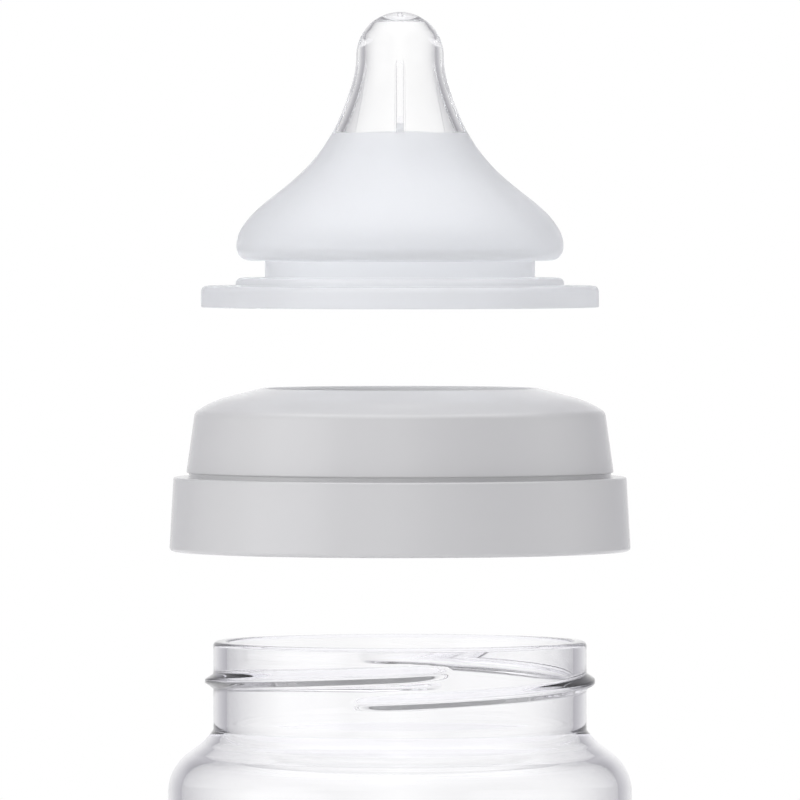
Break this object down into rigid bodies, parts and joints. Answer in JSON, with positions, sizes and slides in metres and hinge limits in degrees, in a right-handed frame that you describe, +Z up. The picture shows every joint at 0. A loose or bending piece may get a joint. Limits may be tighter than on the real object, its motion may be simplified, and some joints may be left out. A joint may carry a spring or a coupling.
{
  "type": "baby bottle",
  "caption": "Wide-neck baby bottle in clear plastic, drawn apart: screw collar above the threaded neck, silicone nipple above the collar.",
  "frame": {"origin": "centre of the ring that the bottle stands on", "axes": "+Z up the bottle's axis, towards the nipple; the thread ridges are centred over +X and -X"},
  "size_m": [0.0628, 0.0628, 0.215],
  "materials": {
    "clear_plastic": "clear moulded plastic, high gloss",
    "grey_plastic": "light grey polypropylene, satin",
    "silicone": "translucent silicone, clear and glossy round the stem, frosted below"
  },
  "bodies": {
    "bottle": {"bottle": "clear_plastic"},
    "collar": {"collar": "grey_plastic"},
    "nipple": {"nipple": "silicone"}
  },
  "joints": [
    {"name": "collar_lift", "type": "slide", "parent": "bottle", "child": "collar", "axis": [0, 0, 1], "range_m": [-0.028, 0]},
    {"name": "nipple_lift", "type": "slide", "parent": "collar", "child": "nipple", "axis": [0, 0, 1], "range_m": [-0.0171, 0], "deforming": ["nipple"]}
  ]
}
